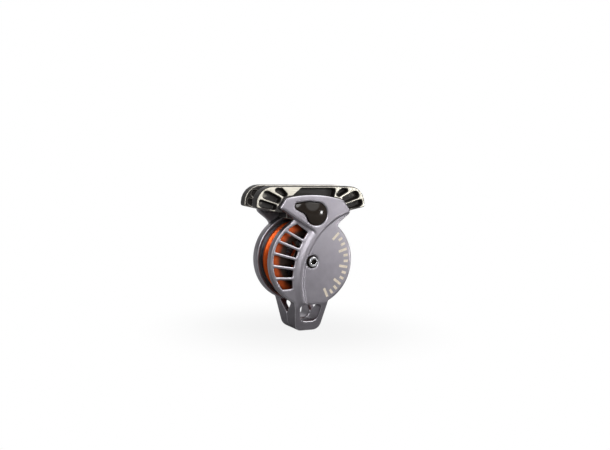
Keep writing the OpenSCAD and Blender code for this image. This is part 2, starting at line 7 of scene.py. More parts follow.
import bpy
import numpy as np
import openvdb
from mathutils import Matrix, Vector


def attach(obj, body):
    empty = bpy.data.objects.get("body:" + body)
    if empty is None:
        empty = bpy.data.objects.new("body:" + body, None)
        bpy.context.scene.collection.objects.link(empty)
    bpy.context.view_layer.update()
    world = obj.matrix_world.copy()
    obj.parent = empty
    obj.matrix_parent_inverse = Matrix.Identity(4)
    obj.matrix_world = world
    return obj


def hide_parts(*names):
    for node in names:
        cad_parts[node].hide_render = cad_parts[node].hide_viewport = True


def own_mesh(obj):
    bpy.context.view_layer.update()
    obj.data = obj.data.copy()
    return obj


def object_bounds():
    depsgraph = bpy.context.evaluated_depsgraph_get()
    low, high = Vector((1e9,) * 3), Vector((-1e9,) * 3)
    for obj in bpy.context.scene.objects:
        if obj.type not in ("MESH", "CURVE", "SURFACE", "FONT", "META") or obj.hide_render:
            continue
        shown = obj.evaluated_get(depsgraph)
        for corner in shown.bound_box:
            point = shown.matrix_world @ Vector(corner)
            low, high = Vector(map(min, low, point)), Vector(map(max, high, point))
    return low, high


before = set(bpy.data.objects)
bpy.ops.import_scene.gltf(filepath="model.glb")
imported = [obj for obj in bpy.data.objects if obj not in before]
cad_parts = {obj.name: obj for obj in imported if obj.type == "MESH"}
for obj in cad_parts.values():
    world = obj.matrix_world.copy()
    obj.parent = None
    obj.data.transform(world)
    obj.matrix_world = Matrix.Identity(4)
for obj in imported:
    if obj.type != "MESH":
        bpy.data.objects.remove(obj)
cad_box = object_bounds()
scene = bpy.context.scene
scene.view_settings.view_transform = "Standard"


# Side plates. Each is one hot forging of aluminium, blasted and anodised a grey with a touch of lavender.
# The cup over the sheave, the head, the leg and half of the eye are all one piece with soft forged edges.
# The back plate is the same forging turned round, without the opening for the button.

def linear(hex_colour):
    """Colour of an sRGB hex value as linear red, green, blue and alpha."""
    c = np.array([int(hex_colour[i:i + 2], 16) for i in (1, 3, 5)]) / 255
    c = np.where(c <= 0.04045, c / 12.92, ((c + 0.055) / 1.055) ** 2.4)
    return (*c, 1.0)


def add(tree, kind, inputs=None, **settings):
    """Adds a node with its settings, and sets or links each named input."""
    node = tree.nodes.new(kind)
    for key, value in settings.items():
        setattr(node, key, value)
    for key, value in (inputs or {}).items():
        if isinstance(value, bpy.types.NodeSocket):
            tree.links.new(value, node.inputs[key])
        else:
            node.inputs[key].default_value = value
    return node


def start_material(name):
    """Empty node material, its tree and its output node."""
    material = bpy.data.materials.new(name)
    material.use_nodes = True
    tree = material.node_tree
    tree.nodes.clear()
    return material, tree, add(tree, "ShaderNodeOutputMaterial")


def mesh_piece(name, points, faces, edge=None):
    """Smooth mesh object from an array of points and an array of faces with the same number of corners.

    Where edge is given, it is kept as a number on each point."""
    faces = np.asarray(faces, np.int32)
    mesh = bpy.data.meshes.new(name)
    mesh.vertices.add(len(points))
    mesh.vertices.foreach_set("co", np.asarray(points, np.float32).ravel())
    mesh.loops.add(faces.size)
    mesh.loops.foreach_set("vertex_index", faces.ravel())
    mesh.polygons.add(len(faces))
    mesh.polygons.foreach_set("loop_start", np.arange(0, faces.size, faces.shape[1], dtype=np.int32))
    mesh.update(calc_edges=True)
    mesh.polygons.foreach_set("use_smooth", np.ones(len(faces), bool))
    if edge is not None:
        layer = mesh.attributes.new("edge", "FLOAT", "POINT")
        layer.data.foreach_set("value", np.asarray(edge, np.float32))
    mesh.validate()
    piece = bpy.data.objects.new(name, mesh)
    scene.collection.objects.link(piece)
    return piece


def softened(name, node, body, cell_mm, blur_mm):
    """Softened copy of a CAD solid: its distance field on a grid, blurred by a Gaussian, meshed at zero.

    Flat faces stay where they are, outer edges round off and inner corners fill. The attribute edge keeps
    how far each point lies inside the sharp solid, in mm: above zero on outer edges, below in corners."""
    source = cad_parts[node].data
    points = np.empty(len(source.vertices) * 3, np.float32)
    source.vertices.foreach_get("co", points)
    points, where = np.unique(np.round(points.reshape(-1, 3) * 1000, 4), axis=0, return_inverse=True)
    source.calc_loop_triangles()
    triangles = np.empty(len(source.loop_triangles) * 3, np.int32)
    source.loop_triangles.foreach_get("vertices", triangles)
    triangles = where.ravel()[triangles].reshape(-1, 3).astype(np.uint32)

    # The field reaches 5 cells from the surface, with 4 more around it, and the blur runs to 2.5 deviations.
    field_cells, margin_cells, deviations = 5, 4, 2.5
    place = openvdb.createLinearTransform(voxelSize=cell_mm)
    grid = openvdb.FloatGrid.createLevelSetFromPolygons(
        points.astype(np.float32), triangles=triangles, transform=place, halfWidth=field_cells)
    low, high = (np.array(c) for c in grid.evalActiveVoxelBoundingBox())
    low, high = low - margin_cells, high + margin_cells + 1
    first_cell = tuple(int(v) for v in low)
    sharp = np.empty(high - low, np.float32)
    grid.copyToArray(sharp, ijk=first_cell)
    reach = math.ceil(deviations * blur_mm / cell_mm)
    steps = np.arange(-reach, reach + 1)
    weights = np.exp(-0.5 * (steps * cell_mm / blur_mm) ** 2)
    weights /= weights.sum()
    soft = sharp
    for axis in range(3):
        soft = sum(w * np.roll(soft, k, axis) for k, w in zip(steps, weights))
    out = openvdb.FloatGrid(grid.background)
    out.copyFromArray(soft.astype(np.float32), ijk=first_cell)
    out.transform = place
    new_points, quads = out.convertToQuads(isovalue=0)

    # The sharp field at each new point is the mean of its cell's eight corners, weighted by nearness.
    at = new_points / cell_mm - low
    base = np.clip(np.floor(at).astype(int), 0, np.array(sharp.shape) - 2)
    part = at - base
    inside = np.zeros(len(at))
    for corner in np.ndindex(2, 2, 2):
        share = np.prod(np.where(corner, part, 1 - part), axis=1)
        inside -= share * sharp[tuple((base + corner).T)]

    # A negative volume means that the faces point inwards, so they are turned round.
    a, b, c = (new_points[quads[:, i]].astype(float) for i in (0, 1, 2))
    if np.einsum("ij,ij->", np.cross(a, b), c) < 0:
        quads = quads[:, ::-1]
    piece = mesh_piece(name, new_points / 1000, quads, inside)
    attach(piece, body)
    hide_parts(node)
    return piece


# Blasted and anodised aluminium: a satin grey with a lavender cast, fine blast grain, pale outer edges that
# are partly rubbed metal and partly a painted highlight, and painted shade darkening the inner corners. The
# blast grain is drawn at 0.5 mm, coarser than life, so that it shows. Cloudy patches about 9 mm across tint
# the grey.
plate_grey, plate_rubbed_and_highlit, plate_corner_shade = "#959198", "#d9d7dc", "#2b2930"
blast_grain_mm, patches_per_metre = 0.5, 110.0
rub_from_mm, rub_to_mm = 0.15, 0.34
corner_shade_from_mm, corner_shade_to_mm, corner_shade_most = -0.02, -0.13, 0.3
anodised, tree, output = start_material("anodised_aluminium_blasted")
here = add(tree, "ShaderNodeTexCoord").outputs["Object"]
grain = add(tree, "ShaderNodeTexNoise", {
    "Vector": here, "Scale": 1000 / blast_grain_mm, "Detail": 3.0, "Roughness": 0.6}).outputs["Fac"]
cloud = add(tree, "ShaderNodeTexNoise", {
    "Vector": here, "Scale": patches_per_metre, "Detail": 4.0, "Roughness": 0.55}).outputs["Fac"]
edge = add(tree, "ShaderNodeAttribute", attribute_name="edge").outputs["Fac"]
# Pale outer edges: partly rubbed metal, partly a painted highlight along the edges.
ragged = add(tree, "ShaderNodeMath", {0: cloud, 1: 0.16, 2: edge}, operation="MULTIPLY_ADD").outputs[0]
worn = add(tree, "ShaderNodeMapRange", {"Value": ragged, "From Min": rub_from_mm, "From Max": rub_to_mm},
           interpolation_type="SMOOTHSTEP").outputs["Result"]
# Darker inner corners: painted shade.
corner_shade = add(tree, "ShaderNodeMapRange", {
    "Value": edge, "From Min": corner_shade_from_mm, "From Max": corner_shade_to_mm, "To Max": corner_shade_most},
    interpolation_type="SMOOTHSTEP").outputs["Result"]
tint = add(tree, "ShaderNodeMapRange", {
    "Value": cloud, "From Min": 0.3, "From Max": 0.7, "To Min": 0.90, "To Max": 1.06}).outputs["Result"]
shade = add(tree, "ShaderNodeMix", {"Factor": 1.0, 6: linear(plate_grey), 7: tint},
            data_type="RGBA", blend_type="MULTIPLY").outputs[2]
corner_shaded = add(tree, "ShaderNodeMix", {"Factor": corner_shade, 6: shade, 7: linear(plate_corner_shade)},
            data_type="RGBA").outputs[2]
colour = add(tree, "ShaderNodeMix", {"Factor": worn, 6: corner_shaded, 7: linear(plate_rubbed_and_highlit)},
             data_type="RGBA").outputs[2]
satin = add(tree, "ShaderNodeMapRange", {
    "Value": grain, "From Min": 0.3, "From Max": 0.7, "To Min": 0.28, "To Max": 0.38}).outputs["Result"]
bump = add(tree, "ShaderNodeBump", {"Height": grain, "Strength": 0.25, "Distance": 0.00003}).outputs["Normal"]
metal = add(tree, "ShaderNodeBsdfPrincipled", {
    "Base Color": colour, "Metallic": 0.9, "Roughness": satin, "Normal": bump})
tree.links.new(metal.outputs["BSDF"], output.inputs["Surface"])

back_plate = softened("back_plate_forging", "back_plate", "back_half",
                      cell_mm=0.4, blur_mm=0.5)
front_plate = softened("front_plate_forging", "front_plate", "front_half",
                       cell_mm=0.4, blur_mm=0.5)
for plate in (back_plate, front_plate):
    plate.data.materials.append(anodised)


# Printed scale. A fan of bold marks in champagne ink near the rim of the front disc, plain and without words.
# Each mark is a film of ink a few hundredths of a millimetre thick, screen printed on the anodised face.

# Height of the axle above the centre of the eye, where the frame has its origin.
axle_z_mm = 38.5


def ink_marks(name, inner_mm, outer_mm, angles_deg, width_mm, face_y_mm, film_mm=0.04, sunk_mm=0.03):
    """Boxes along the radii: each runs from its inner to its outer radius at its angle, equally wide."""
    angles = np.radians(np.asarray(angles_deg, float))[:, None]
    inner = np.broadcast_to(np.asarray(inner_mm, float).reshape(-1, 1), angles.shape)
    corner = np.array([[0, -1], [0, 1], [1, 1], [1, -1]], float)
    radius = inner + (outer_mm - inner) * corner[None, :, 0]
    side = corner[None, :, 1] * width_mm / 2
    x = radius * np.cos(angles) - side * np.sin(angles)
    z = radius * np.sin(angles) + side * np.cos(angles) + axle_z_mm
    depth = np.array([face_y_mm - film_mm, face_y_mm + sunk_mm])
    y = np.repeat(np.broadcast_to(depth, (len(x), 2)), 4, 1)
    points = np.stack([np.concatenate([x, x], 1), y, np.concatenate([z, z], 1)], -1).reshape(-1, 3) / 1000
    box = np.array([[0, 3, 2, 1], [4, 5, 6, 7], [0, 1, 5, 4], [1, 2, 6, 5], [2, 3, 7, 6], [3, 0, 4, 7]])
    faces = (np.arange(len(x))[:, None, None] * len(box[0]) * 2 + box).reshape(-1, 4)
    piece = mesh_piece(name, points, faces)
    piece.data.polygons.foreach_set("use_smooth", np.zeros(len(piece.data.polygons), bool))
    return piece


# Screen ink: matt, slightly warm, with pinholes from the mesh drawn at 0.7 mm.
ink_champagne, ink_thin = "#d9cdb9", "#c3b7a6"
pinholes_per_metre = 1400.0
ink, tree, output = start_material("screen_ink_champagne")
here = add(tree, "ShaderNodeTexCoord").outputs["Object"]
speck = add(tree, "ShaderNodeTexNoise", {
    "Vector": here, "Scale": pinholes_per_metre, "Detail": 2.0}).outputs["Fac"]
thin = add(tree, "ShaderNodeMapRange", {
    "Value": speck, "From Min": 0.42, "From Max": 0.62}).outputs["Result"]
colour = add(tree, "ShaderNodeMix", {"Factor": thin, 6: linear(ink_champagne), 7: linear(ink_thin)},
             data_type="RGBA").outputs[2]
film = add(tree, "ShaderNodeBsdfPrincipled", {"Base Color": colour, "Roughness": 0.55})
tree.links.new(film.outputs["BSDF"], output.inputs["Surface"])

disc_face_y_mm = -17.4
mark_angles = np.arange(-64, 50, 9.0)
long_mark_mm, short_mark_mm, mark_end_mm, mark_width_mm = 22.6, 26.0, 29.6, 1.9
mark_inner = np.where(np.arange(len(mark_angles)) % 3 == 0, long_mark_mm, short_mark_mm)
marks = ink_marks("printed_marks", mark_inner, mark_end_mm, mark_angles, mark_width_mm, disc_face_y_mm)
marks.data.materials.append(ink)
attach(marks, "front_half")


# Guides. A winged aluminium casting on the inside of each head, blacked all over, then machined on its
# outer face, so that the frame and the ribs between the windows are bright and the windows stay black.

# Black hard coat with a bright machined face. The face lies more than 14.2 mm from the middle plane, and
# within
# 1 mm of the head it is left black, as a painted shadow line round the head. Black borders along rounded
# edges are partly uncut coat and partly a painted dark outline. Edges that rub show bare metal on the inner
# side. The mill marks run along the guide, drawn 0.6 mm apart so that they show.
coat_black, coat_brown, edge_bare = "#151312", "#2d2723", "#c4bfb5"
face_bright, face_shade = "#dad6cb", "#b4ae9f"
face_from, face_to = 0.0139, 0.0142
head_shadow_from_mm, head_shadow_to_mm = 0.7, 1.0
flat_from_mm, flat_to_mm = 0.06, 0.015
inner_from, inner_to = 0.0136, 0.0130
rub_from_mm, rub_to_mm = 0.08, 0.12
patches_per_metre, pits_per_metre, mill_per_metre = 160.0, 1600.0, (60.0, 400.0, 1700.0)
guide_metal, tree, output = start_material("hard_coated_casting_machined_face")
here = add(tree, "ShaderNodeTexCoord").outputs["Object"]
axes = add(tree, "ShaderNodeSeparateXYZ", {"Vector": here})
depth = add(tree, "ShaderNodeMath", {0: axes.outputs["Y"]}, operation="ABSOLUTE").outputs[0]
outer = add(tree, "ShaderNodeMapRange", {"Value": depth, "From Min": face_from, "From Max": face_to},
            interpolation_type="SMOOTHSTEP").outputs["Result"]
# Painted shadow line: within 1 mm of the head the machined face turns black.
beside = add(tree, "ShaderNodeAttribute", attribute_name="beside_head").outputs["Fac"]
clear = add(tree, "ShaderNodeMapRange", {"Value": beside, "From Min": head_shadow_from_mm, "From Max": head_shadow_to_mm},
            interpolation_type="SMOOTHSTEP").outputs["Result"]
edge = add(tree, "ShaderNodeAttribute", attribute_name="edge").outputs["Fac"]
# Black borders along rounded edges: partly uncut coat, partly a painted dark outline.
flat = add(tree, "ShaderNodeMapRange", {"Value": edge, "From Min": flat_from_mm, "From Max": flat_to_mm},
           interpolation_type="SMOOTHSTEP").outputs["Result"]
level = add(tree, "ShaderNodeMath", {0: outer, 1: flat}, operation="MULTIPLY").outputs[0]
face = add(tree, "ShaderNodeMath", {0: level, 1: clear}, operation="MULTIPLY").outputs[0]
cloud = add(tree, "ShaderNodeTexNoise", {
    "Vector": here, "Scale": patches_per_metre, "Detail": 5.0, "Roughness": 0.6}).outputs["Fac"]
pits = add(tree, "ShaderNodeTexNoise", {
    "Vector": here, "Scale": pits_per_metre, "Detail": 3.0}).outputs["Fac"]
lengthwise = add(tree, "ShaderNodeMapping", {"Vector": here, "Scale": mill_per_metre}).outputs["Vector"]
mill = add(tree, "ShaderNodeTexNoise", {"Vector": lengthwise, "Scale": 1.0, "Detail": 3.0}).outputs["Fac"]
inner_side = add(tree, "ShaderNodeMapRange", {
    "Value": depth, "From Min": inner_from, "From Max": inner_to}).outputs["Result"]
ragged = add(tree, "ShaderNodeMath", {0: cloud, 1: 0.10, 2: edge}, operation="MULTIPLY_ADD").outputs[0]
rubbed = add(tree, "ShaderNodeMapRange", {"Value": ragged, "From Min": rub_from_mm, "From Max": rub_to_mm},
             interpolation_type="SMOOTHSTEP").outputs["Result"]
worn = add(tree, "ShaderNodeMath", {0: rubbed, 1: inner_side}, operation="MULTIPLY").outputs[0]
coat = add(tree, "ShaderNodeMix", {"Factor": cloud, 6: linear(coat_black), 7: linear(coat_brown)},
           data_type="RGBA").outputs[2]
coated = add(tree, "ShaderNodeMix", {"Factor": worn, 6: coat, 7: linear(edge_bare)},
             data_type="RGBA").outputs[2]
cut = add(tree, "ShaderNodeMapRange", {"Value": mill, "From Min": 0.35, "From Max": 0.75}).outputs["Result"]
milled = add(tree, "ShaderNodeMix", {"Factor": cut, 6: linear(face_bright), 7: linear(face_shade)},
             data_type="RGBA").outputs[2]
colour = add(tree, "ShaderNodeMix", {"Factor": face, 6: coated, 7: milled}, data_type="RGBA").outputs[2]
bright = add(tree, "ShaderNodeMath", {0: face, 1: worn}, operation="MAXIMUM").outputs[0]
rough = add(tree, "ShaderNodeMapRange", {"Value": bright, "To Min": 0.5, "To Max": 0.4}).outputs["Result"]
height = add(tree, "ShaderNodeMix", {"Factor": face, "A": pits, "B": mill}, data_type="FLOAT").outputs[0]
bump = add(tree, "ShaderNodeBump", {"Height": height, "Strength": 0.3, "Distance": 0.00004}).outputs["Normal"]
shine = add(tree, "ShaderNodeMapRange", {"Value": bright, "To Min": 0.1, "To Max": 0.9}).outputs["Result"]
metal = add(tree, "ShaderNodeBsdfPrincipled", {
    "Base Color": colour, "Metallic": shine, "Roughness": rough, "Normal": bump})
tree.links.new(metal.outputs["BSDF"], output.inputs["Surface"])

back_guide = softened("back_rope_guide", "back_guide", "back_half",
                      cell_mm=0.35, blur_mm=0.3)
front_guide = softened("front_rope_guide", "front_guide", "front_half",
                       cell_mm=0.35, blur_mm=0.3)
# Outline of the head on the guide; the distance from it draws the painted shadow line round the head.
crown_r_mm, crown_x_mm, crown_z_mm = 92.0, -2.0, -43.2
left_side_mm, right_side_mm = ((-29.5, 36.6), (-21.2, 48.6)), ((24.6, 45.0), (30.9, 36.9))


def beside_head(x, z):
    """Distance outside the head: the most of how far a point lies outside its crown's circle and sides."""
    gap = np.hypot(x - crown_x_mm, z - crown_z_mm) - crown_r_mm
    for (x0, z0), (x1, z1) in (left_side_mm, right_side_mm):
        past_side = ((x0 - x) * (z1 - z0) + (z - z0) * (x1 - x0)) / math.hypot(x1 - x0, z1 - z0)
        gap = np.maximum(gap, past_side)
    return gap


for guide, turn in ((back_guide, -1), (front_guide, 1)):
    at = np.empty(len(guide.data.vertices) * 3, np.float32)
    guide.data.vertices.foreach_get("co", at)
    at = at.reshape(-1, 3) * 1000
    layer = guide.data.attributes.new("beside_head", "FLOAT", "POINT")
    layer.data.foreach_set("value", beside_head(turn * at[:, 0], at[:, 2] - axle_z_mm).astype(np.float32))
    guide.data.materials.append(guide_metal)


# Sheave. Two turned cheeks of aluminium, anodised orange, clamp a fluted tread between them with three
# screws. The front cheek has windows that let air through to the brake.

def lathe_rings(tree, here, spacing):
    """Sockets for the radius about the axle, and for its sine with one wave to each spacing."""
    centred = add(tree, "ShaderNodeMapping", {"Vector": here, "Location": (0, 0, -axle_z_mm / 1000)})
    flat = add(tree, "ShaderNodeVectorMath", {0: centred.outputs["Vector"], 1: (1, 0, 1)},
               operation="MULTIPLY").outputs["Vector"]
    radius = add(tree, "ShaderNodeVectorMath", {0: flat}, operation="LENGTH").outputs["Value"]
    turns = add(tree, "ShaderNodeMath", {0: radius, 1: 2 * math.pi / spacing},
                operation="MULTIPLY").outputs[0]
    return radius, add(tree, "ShaderNodeMath", {0: turns}, operation="SINE").outputs[0]


# Anodised turned aluminium: clear orange over bright metal in the groove. On the outer faces the orange is
# mixed with the brown-black web even at the rim, as painted shade, and fades fully into the web between radii
# of 26 and
# 21.5 mm. Rubbed edges are paler, and the lathe rings are drawn 0.5 mm apart so that they show.
orange, orange_deep, orange_bare, web_black = "#f06a1c", "#c4430f", "#e9b896", "#33261f"
ring_spacing, patches_per_metre = 0.0005, 140.0
web_r, rim_r, rim_shaded_share = 0.0215, 0.0262, 0.62
groove_from, groove_to = 0.0083, 0.0080
rub_from_mm, rub_to_mm = 0.11, 0.2
orange_metal, tree, output = start_material("anodised_aluminium_orange_turned")
here = add(tree, "ShaderNodeTexCoord").outputs["Object"]
radius, rings = lathe_rings(tree, here, ring_spacing)
cloud = add(tree, "ShaderNodeTexNoise", {
    "Vector": here, "Scale": patches_per_metre, "Detail": 4.0}).outputs["Fac"]
edge = add(tree, "ShaderNodeAttribute", attribute_name="edge").outputs["Fac"]
ragged = add(tree, "ShaderNodeMath", {0: cloud, 1: 0.08, 2: edge}, operation="MULTIPLY_ADD").outputs[0]
worn = add(tree, "ShaderNodeMapRange", {"Value": ragged, "From Min": rub_from_mm, "From Max": rub_to_mm},
           interpolation_type="SMOOTHSTEP").outputs["Result"]
dye = add(tree, "ShaderNodeMix", {"Factor": cloud, 6: linear(orange), 7: linear(orange_deep)},
          data_type="RGBA").outputs[2]
# Painted shade: even at the rim the outer faces keep only 62 % of the orange, the rest brown-black web.
rim = add(tree, "ShaderNodeMapRange", {
    "Value": radius, "From Min": web_r, "From Max": rim_r, "To Max": rim_shaded_share},
    interpolation_type="SMOOTHSTEP").outputs["Result"]
axes = add(tree, "ShaderNodeSeparateXYZ", {"Vector": here})
depth = add(tree, "ShaderNodeMath", {0: axes.outputs["Y"]}, operation="ABSOLUTE").outputs[0]
groove = add(tree, "ShaderNodeMapRange", {
    "Value": depth, "From Min": groove_from, "From Max": groove_to}).outputs["Result"]
dyed = add(tree, "ShaderNodeMath", {0: rim, 1: groove}, operation="MAXIMUM").outputs[0]
two_tone_and_shade = add(tree, "ShaderNodeMix", {"Factor": dyed, 6: linear(web_black), 7: dye},
               data_type="RGBA").outputs[2]
colour = add(tree, "ShaderNodeMix", {"Factor": worn, 6: two_tone_and_shade, 7: linear(orange_bare)},
             data_type="RGBA").outputs[2]
bump = add(tree, "ShaderNodeBump", {"Height": rings, "Strength": 0.25, "Distance": 0.00002}).outputs["Normal"]
metal = add(tree, "ShaderNodeBsdfPrincipled", {
    "Base Color": colour, "Metallic": 0.7, "Roughness": 0.34, "Normal": bump})
tree.links.new(metal.outputs["BSDF"], output.inputs["Surface"])

front_cheek = softened("sheave_front_cheek", "wheel_front_flange", "wheel",
                       cell_mm=0.4, blur_mm=0.28)
rear_cheek = softened("sheave_rear_cheek", "wheel_rear_flange", "wheel",
                      cell_mm=0.4, blur_mm=0.28)
for cheek in (front_cheek, rear_cheek):
    cheek.data.materials.append(orange_metal)


def turned_ring(name, profile_mm, around, flutes, flute_mm):
    """Closed surface of revolution about the axle: a closed loop of (radius, y) points carried round it.

    Points on the largest radius dip by a cosine of the angle, as many times as there are flutes."""
    angle = np.arange(around) * 2 * math.pi / around
    loop = np.asarray(profile_mm, float)
    top = loop[:, 0] >= loop[:, 0].max() - 1e-6
    dip = flute_mm * (0.5 - 0.5 * np.cos(flutes * angle)) ** 3
    radius = loop[None, :, 0] - dip[:, None] * top[None, :]
    points = np.stack([radius * np.cos(angle)[:, None], np.broadcast_to(loop[None, :, 1], radius.shape),
                       radius * np.sin(angle)[:, None] + axle_z_mm], -1)
    i, k = np.meshgrid(np.arange(around), np.arange(len(loop)), indexing="ij")
    j, m = (i + 1) % around, (k + 1) % len(loop)
    faces = np.stack([i * len(loop) + k, i * len(loop) + m, j * len(loop) + m, j * len(loop) + k], -1)
    return mesh_piece(name, points.reshape(-1, 3) / 1000, faces.reshape(-1, 4))


# Hard anodised aluminium: charcoal, rubbed paler by use in the middle of the groove, in patches about 2 mm
# across.
tread_dark, tread_rubbed = "#35353a", "#8a8a8f"
patch_mm, band_from, band_to = 2.0, 0.0030, 0.0008
tread_metal, tree, output = start_material("hard_anodised_aluminium_fluted")
here = add(tree, "ShaderNodeTexCoord").outputs["Object"]
axes = add(tree, "ShaderNodeSeparateXYZ", {"Vector": here})
off = add(tree, "ShaderNodeMath", {0: axes.outputs["Y"]}, operation="ABSOLUTE").outputs[0]
band = add(tree, "ShaderNodeMapRange", {"Value": off, "From Min": band_from, "From Max": band_to},
           interpolation_type="SMOOTHSTEP").outputs["Result"]
cloud = add(tree, "ShaderNodeTexNoise", {
    "Vector": here, "Scale": 1000 / patch_mm, "Detail": 4.0}).outputs["Fac"]
rub = add(tree, "ShaderNodeMath", {0: band, 1: cloud}, operation="MULTIPLY").outputs[0]
colour = add(tree, "ShaderNodeMix", {"Factor": rub, 6: linear(tread_dark), 7: linear(tread_rubbed)},
             data_type="RGBA").outputs[2]
metal = add(tree, "ShaderNodeBsdfPrincipled", {"Base Color": colour, "Metallic": 0.8, "Roughness": 0.42})
tree.links.new(metal.outputs["BSDF"], output.inputs["Surface"])

tread_bore_mm, tread_shoulder_mm, tread_r_mm, tread_half_mm, tread_flat_mm = 6.6, 20.9, 21.0, 3.5, 3.4
tread_profile = [(tread_bore_mm, -tread_half_mm), (tread_shoulder_mm, -tread_half_mm)]
tread_profile += [(tread_r_mm, y) for y in np.linspace(-tread_flat_mm, tread_flat_mm, 9)]
tread_profile += [(tread_shoulder_mm, tread_half_mm), (tread_bore_mm, tread_half_mm)]
tread = turned_ring("sheave_tread", tread_profile, around=288, flutes=36, flute_mm=0.5)
tread.data.materials.append(tread_metal)
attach(tread, "wheel")
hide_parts("wheel_tread")


# Axle, screws, pins and brake. Turned and ground steel, with a plated screw in the middle of the disc.
# The catch ring and the pawls are hardened steel, tinted darker by the quench, and the bushes are bronze.

def turned_metal(name, pale, dark, roughness, spacing=0.0006, patches_per_metre=300.0):
    """Turned metal with faint lathe rings about the axle, and a cloudy tint between two shades.

    The tint has patches about 3 mm across. The rings are drawn as coarse as they need to be to show."""
    material, tree, output = start_material(name)
    here = add(tree, "ShaderNodeTexCoord").outputs["Object"]
    rings = lathe_rings(tree, here, spacing)[1]
    cloud = add(tree, "ShaderNodeTexNoise", {
        "Vector": here, "Scale": patches_per_metre, "Detail": 4.0}).outputs["Fac"]
    tone = add(tree, "ShaderNodeMix", {"Factor": cloud, 6: linear(pale), 7: linear(dark)},
               data_type="RGBA").outputs[2]
    bump = add(tree, "ShaderNodeBump", {
        "Height": rings, "Strength": 0.15, "Distance": 0.00001}).outputs["Normal"]
    metal = add(tree, "ShaderNodeBsdfPrincipled", {
        "Base Color": tone, "Metallic": 1.0, "Roughness": roughness, "Normal": bump})
    tree.links.new(metal.outputs["BSDF"], output.inputs["Surface"])
    return material


# Zinc plate is bright and nearly white, ground steel a clear grey with a softer gleam, and hardened steel
# dark grey and duller. Bearing bronze is a dull gold, and where it is oiled and dirty it is almost black.
plated = turned_metal("zinc_plated_steel", "#e2e2e4", "#c2c2c6", 0.2)
ground = turned_metal("ground_steel", "#a9aaae", "#85868b", 0.32)
hardened = turned_metal("hardened_steel", "#6c6d72", "#4c4b50", 0.38, spacing=0.0008)
bronze = turned_metal("bearing_bronze", "#b9935a", "#94713f", 0.36)
oiled = turned_metal("oil_blackened_bronze", "#2b2622", "#151312", 0.5)
finishes = {
    plated: ("pawl_pins", "latch_pin"),
    ground: ("axle", "spacer_sleeve", "catch_track", "wheel_screws", "front_guide_screws",
             "back_guide_screws", "catch_ring_screws"),
    hardened: ("catch_ring", "pawl_a", "pawl_b"),
    bronze: ("thrust_washer", "wheel_bush"),
    oiled: ("pivot_bush",),
}
for finish, names in finishes.items():
    for name in names:
        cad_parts[name].data.materials.clear()
        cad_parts[name].data.materials.append(finish)

# Painted shade in the screw's socket: black and dull, so that the hexagon reads as a hole.
socket_shade = turned_metal("socket_painted_shade", "#26241f", "#0f0e0d", 0.6)
axle_screw = softened("axle_socket_screw", "axle_screw", "back_half",
                      cell_mm=0.12, blur_mm=0.12)
axle_screw.data.materials.append(plated)
axle_screw.data.materials.append(socket_shade)
socket_r_mm, socket_mouth_mm, socket_floor_mm = 2.35, -19.3, -17.4
centres = np.empty(len(axle_screw.data.polygons) * 3, np.float32)
axle_screw.data.polygons.foreach_get("center", centres)
centres = centres.reshape(-1, 3) * 1000
socket = np.hypot(centres[:, 0], centres[:, 2] - axle_z_mm) < socket_r_mm
socket &= (centres[:, 1] > socket_mouth_mm) & (centres[:, 1] < socket_floor_mm)
axle_screw.data.polygons.foreach_set("material_index", socket.astype(np.int32))


# Springs. Round spring-steel wire, cold wound: one short coil on each pawl pin, and a longer one that pushes
# the button out and is squashed when the button goes in.

def wire_coil(name, centres_mm, coil_r, wire_r, turns, y0, y1, sides=10, per_turn=28):
    """Tube along a helix: rings of wire about points that circle each centre while they move along y."""
    count = int(round(turns * per_turn)) + 1
    step = np.linspace(0, 1, count)
    angle = 2 * math.pi * turns * step
    lap = np.arange(sides) * 2 * math.pi / sides
    radius = coil_r + wire_r * np.cos(lap)[None, :]
    y = (y0 + wire_r + (y1 - y0 - 2 * wire_r) * step)[:, None] + wire_r * np.sin(lap)[None, :]
    one = np.stack([radius * np.cos(angle)[:, None], y, radius * np.sin(angle)[:, None]], -1).reshape(-1, 3)
    ends = one.reshape(count, sides, 3)[[0, -1]].mean(1)
    one = np.concatenate([one, ends])
    i, k = np.meshgrid(np.arange(count - 1), np.arange(sides), indexing="ij")
    m = (k + 1) % sides
    walls = np.stack([i * sides + k, i * sides + m, (i + 1) * sides + m, (i + 1) * sides + k], -1)
    walls = walls.reshape(-1, 4)
    side = np.arange(sides)
    far = (count - 1) * sides
    caps = np.concatenate([
        np.stack([np.full(sides, len(one) - 2), (side + 1) % sides, side], -1),
        np.stack([np.full(sides, len(one) - 1), far + side, far + (side + 1) % sides], -1)])
    triangles = np.concatenate([walls[:, [0, 1, 2]], walls[:, [0, 2, 3]], caps])
    points = np.concatenate([one + np.array([x, 0, z]) for x, z in centres_mm])
    faces = np.concatenate([triangles + n * len(one) for n in range(len(centres_mm))])
    return mesh_piece(name, points / 1000, faces)


# Drawn spring wire: pale grey steel with a smooth gleam.
spring_steel = turned_metal("spring_steel_wire", "#c9cacd", "#9fa0a5", 0.25)
pawl_pin_mm, button_x_mm, button_z_mm = 12, 1, axle_z_mm + 39.5
pawl_coils = wire_coil("pawl_coils", [(0, axle_z_mm + pawl_pin_mm), (0, axle_z_mm - pawl_pin_mm)],
                       coil_r=2.3, wire_r=0.28, turns=1.4, y0=8.6, y1=10.65)
pawl_coils.data.materials.append(spring_steel)
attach(pawl_coils, "wheel")
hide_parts("pawl_springs")
button_coil = wire_coil("button_coil", [(button_x_mm, button_z_mm)],
                        coil_r=3.2, wire_r=0.3, turns=3.5, y0=-14.8, y1=-6.0)
button_coil.data.materials.append(spring_steel)
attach(button_coil, "front_half")
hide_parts("button_spring")
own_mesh(button_coil)


# Release button. A comma of glossy black nylon, moulded with a low dome. It stands a little proud of the head
# and slides in the opening of the front plate.

